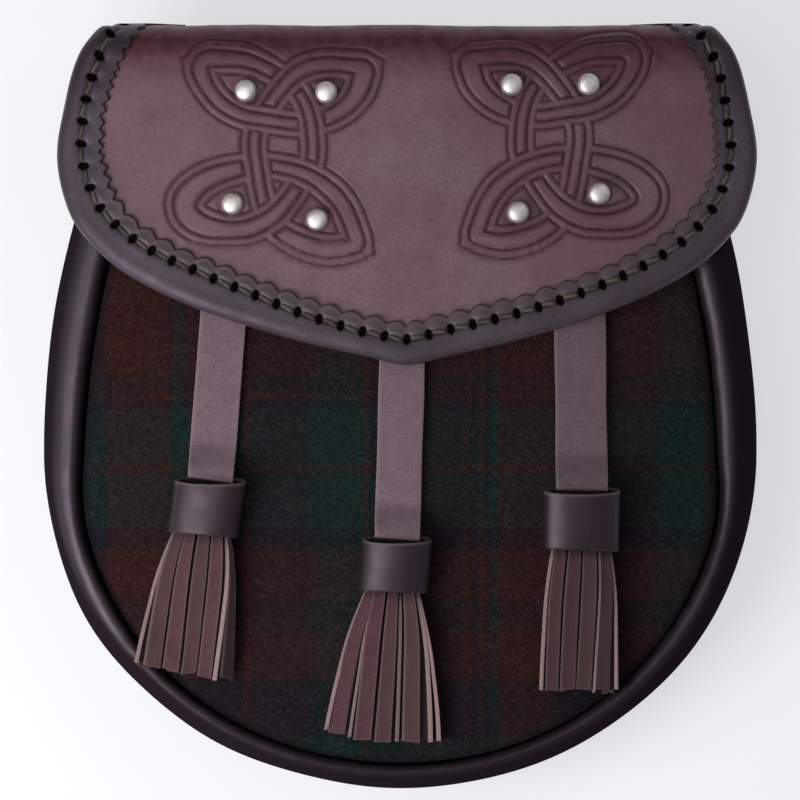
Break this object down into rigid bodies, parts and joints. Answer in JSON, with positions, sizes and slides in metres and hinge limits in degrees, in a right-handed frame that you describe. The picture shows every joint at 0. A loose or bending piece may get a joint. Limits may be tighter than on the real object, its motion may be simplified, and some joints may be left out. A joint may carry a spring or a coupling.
{
  "type": "sporran pouch",
  "caption": "Leather sporran pouch with a tartan front, a bound and studded flap, and three leather tassels.",
  "frame": {"origin": "middle of the outline, on the surface that the pouch's back lies on", "axes": "+X to the right of the face, +Y up the face to the fold, +Z out of the face"},
  "size_m": [0.1788, 0.1923, 0.0493],
  "materials": {
    "flap_leather": "satin",
    "binding_leather": "polished",
    "body_leather": "satin",
    "strap_suede": "napped",
    "tartan": "twill",
    "stud_metal": "polished"
  },
  "bodies": {
    "root": {"back_panel": "body_leather", "gusset": "body_leather", "front_panel": "tartan", "flap": "flap_leather", "flap_binding": "binding_leather", "stud_1": "stud_metal", "stud_2": "stud_metal", "stud_3": "stud_metal", "stud_4": "stud_metal", "stud_5": "stud_metal", "stud_6": "stud_metal", "stud_7": "stud_metal", "stud_8": "stud_metal", "press_stud": "stud_metal", "tassel_strap_left": "strap_suede", "tassel_strap_centre": "strap_suede", "tassel_strap_right": "strap_suede", "tassel_cap_left": "binding_leather", "tassel_cap_centre": "binding_leather", "tassel_cap_right": "binding_leather", "tassel_fringe_left": "strap_suede", "tassel_fringe_centre": "strap_suede", "tassel_fringe_right": "strap_suede", "belt_loop_left": "body_leather", "belt_loop_right": "body_leather"}
  },
  "joints": []
}
